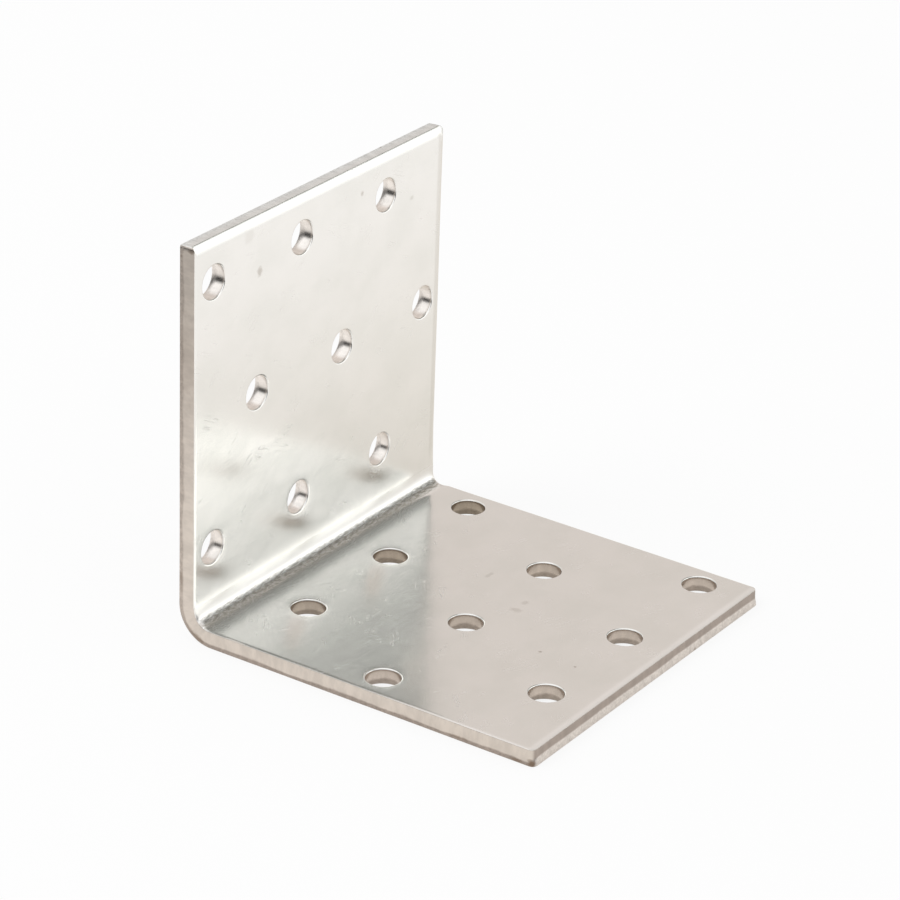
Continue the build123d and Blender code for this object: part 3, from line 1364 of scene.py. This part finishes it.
    def floor(self) -> bpy.types.Object:
        """Makes the floor.

        Returns:
            The floor object.
        """
        half = self.floor_side / 2
        corners = [(-half, -half), (half, -half), (half, half), (-half, half)]
        mesh = bpy.data.meshes.new("floor")
        mesh.from_pydata([(x, y, -self.floor_drop) for x, y in corners], [], [(0, 1, 2, 3)])
        made = added("floor", mesh)
        mesh.materials.append(self.floor_material())
        return made

    def room(self) -> None:
        """Makes the world: white to the camera, an even pale light, and a room to reflections.

        The metal sees a wall behind the bracket whose colour follows the angle over the horizon,
        and in front of it a dark low part under a white ceiling.
        """
        world = bpy.data.worlds.new("studio_room")
        bpy.context.scene.world = world
        world.use_nodes = True
        graph = Graph(world.node_tree)
        background = world.node_tree.nodes["Background"]
        x, y, z = graph.parts(graph.node("ShaderNodeTexCoord").outputs["Generated"])
        over = graph.math("DIVIDE", graph.math("ARCTAN2", z, x), math.pi)
        ramp = graph.node("ShaderNodeValToRGB", {"Fac": over})
        stops = ramp.color_ramp.elements
        while len(stops) < len(self.far_wall):
            stops.new(1.0)
        for stop, (angle, colour) in zip(stops, self.far_wall):
            stop.position = angle / 180
            stop.color = (*colour, 1.0)
        front = graph.mix(graph.ranged(z, 0.16, 0.40), self.front_low, self.ceiling)
        room = graph.mix(graph.ranged(y, 0.0, 0.45), front, ramp.outputs["Color"])
        ray = graph.node("ShaderNodeLightPath").outputs
        lit = graph.mix(ray["Is Glossy Ray"], self.room_light, room)
        graph.feed(background.inputs["Color"], graph.mix(ray["Is Camera Ray"], lit, self.backdrop))
        background.inputs["Strength"].default_value = 1.0

    def build(self) -> None:
        """Makes the floor, the room and the lamp."""
        self.floor()
        self.room()
        SoftLamp("key_lamp", place=(-0.5, -0.6, 0.9), side=0.7, power=3.0).build()


def dress(steel: bpy.types.Object) -> None:
    """Gives the steel its materials, one for each zone in its order.

    Args:
        steel: The bracket's mesh object.
    """
    effects = Effects()
    edge_stains = (
        Mark((60.6, -29.5, 0.5), (0.9, 1.0, 0.9), 0.95),
        Mark((58.2, -29.5, 0.3), (1.5, 1.0, 0.35), 0.7),
        Mark((49.0, -29.5, 0.5), (2.2, 1.0, 0.3), 0.55),
        Mark((4.5, -29.5, 0.5), (2.0, 1.0, 0.6), 0.55),
        Mark((-4.0, -29.5, 0.4), (2.6, 1.0, 0.4), 0.45),
        Mark((-53.9, -29.5, 2.0), (0.5, 1.0, 0.7), 0.6),
        Mark((-38.0, -29.5, 1.3), (10.0, 2.0, 3.0), 0.16),
    )
    sheared = CutFinish(
        land_colour=(0.71, 0.65, 0.59),
        break_colour=(0.44, 0.38, 0.34),
        # painted light: the side's break is lightened on the upright leg
        upright_painted_light=0.6,
        stains=edge_stains,
    )
    punched = CutFinish(
        land_colour=(0.89, 0.85, 0.81),
        break_colour=(0.56, 0.52, 0.485),
        roughness=0.24,
        rise=0.005,
        # painted light: the hole walls' break is lightened on the upright leg
        upright_painted_light=0.85,
        # painted shade on the flat leg's hole walls, darker by the fold than by the tip
        fold_painted_shade=(0.60, 0.55, 0.49),
        tip_painted_shade=(0.75, 0.70, 0.66),
    )
    finishes = {
        Zone.ZINC: (ZincFinish(), "bright_zinc"),
        Zone.SHEARED_EDGE: (sheared, "sheared_edge"),
        Zone.PUNCHED_WALL: (punched, "punched_wall"),
    }
    for zone in Zone:
        finish, name = finishes[zone]
        steel.data.materials.append(finish.material(name, effects))


def main() -> None:
    """Builds the bracket, its finish, the studio and the camera."""
    logging.basicConfig(level=logging.INFO, format="%(name)s: %(message)s")
    bpy.context.scene.view_settings.view_transform = "Standard"
    sizes = BracketSizes.from_frame(frame["record"])
    flush = (0.0, 0.0)
    sheet = SteelSheet(
        sizes=sizes,
        relief=SheetRelief(sizes),
        side_cut=CutProfile(
            roll_width=0.5, roll_depth=0.1, roll_power=2.0, land_share=0.72, land_inset=flush,
            foot_inset=0.02, foot_round=0.04,
        ),
        top_cut=CutProfile(
            roll_width=2.0, roll_depth=0.8, roll_power=1.95, land_share=0.6, land_inset=flush,
            foot_inset=0.06, foot_round=0.08,
        ),
        tip_cut=CutProfile(
            roll_width=1.2, roll_depth=0.14, roll_power=2.0, land_share=0.50, land_inset=(0.3, 0.22),
            foot_inset=0.0, foot_round=0.16,
        ),
    )
    steel = sheet.build("bracket_steel")
    dress(steel)
    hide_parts(NODE)
    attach(steel, "root")
    log.info("%s: %d vertices, %d faces", steel.name, len(steel.data.vertices), len(steel.data.polygons))
    Studio().build()
    PhotoCamera().place()


if __name__ == "__main__":
    main()
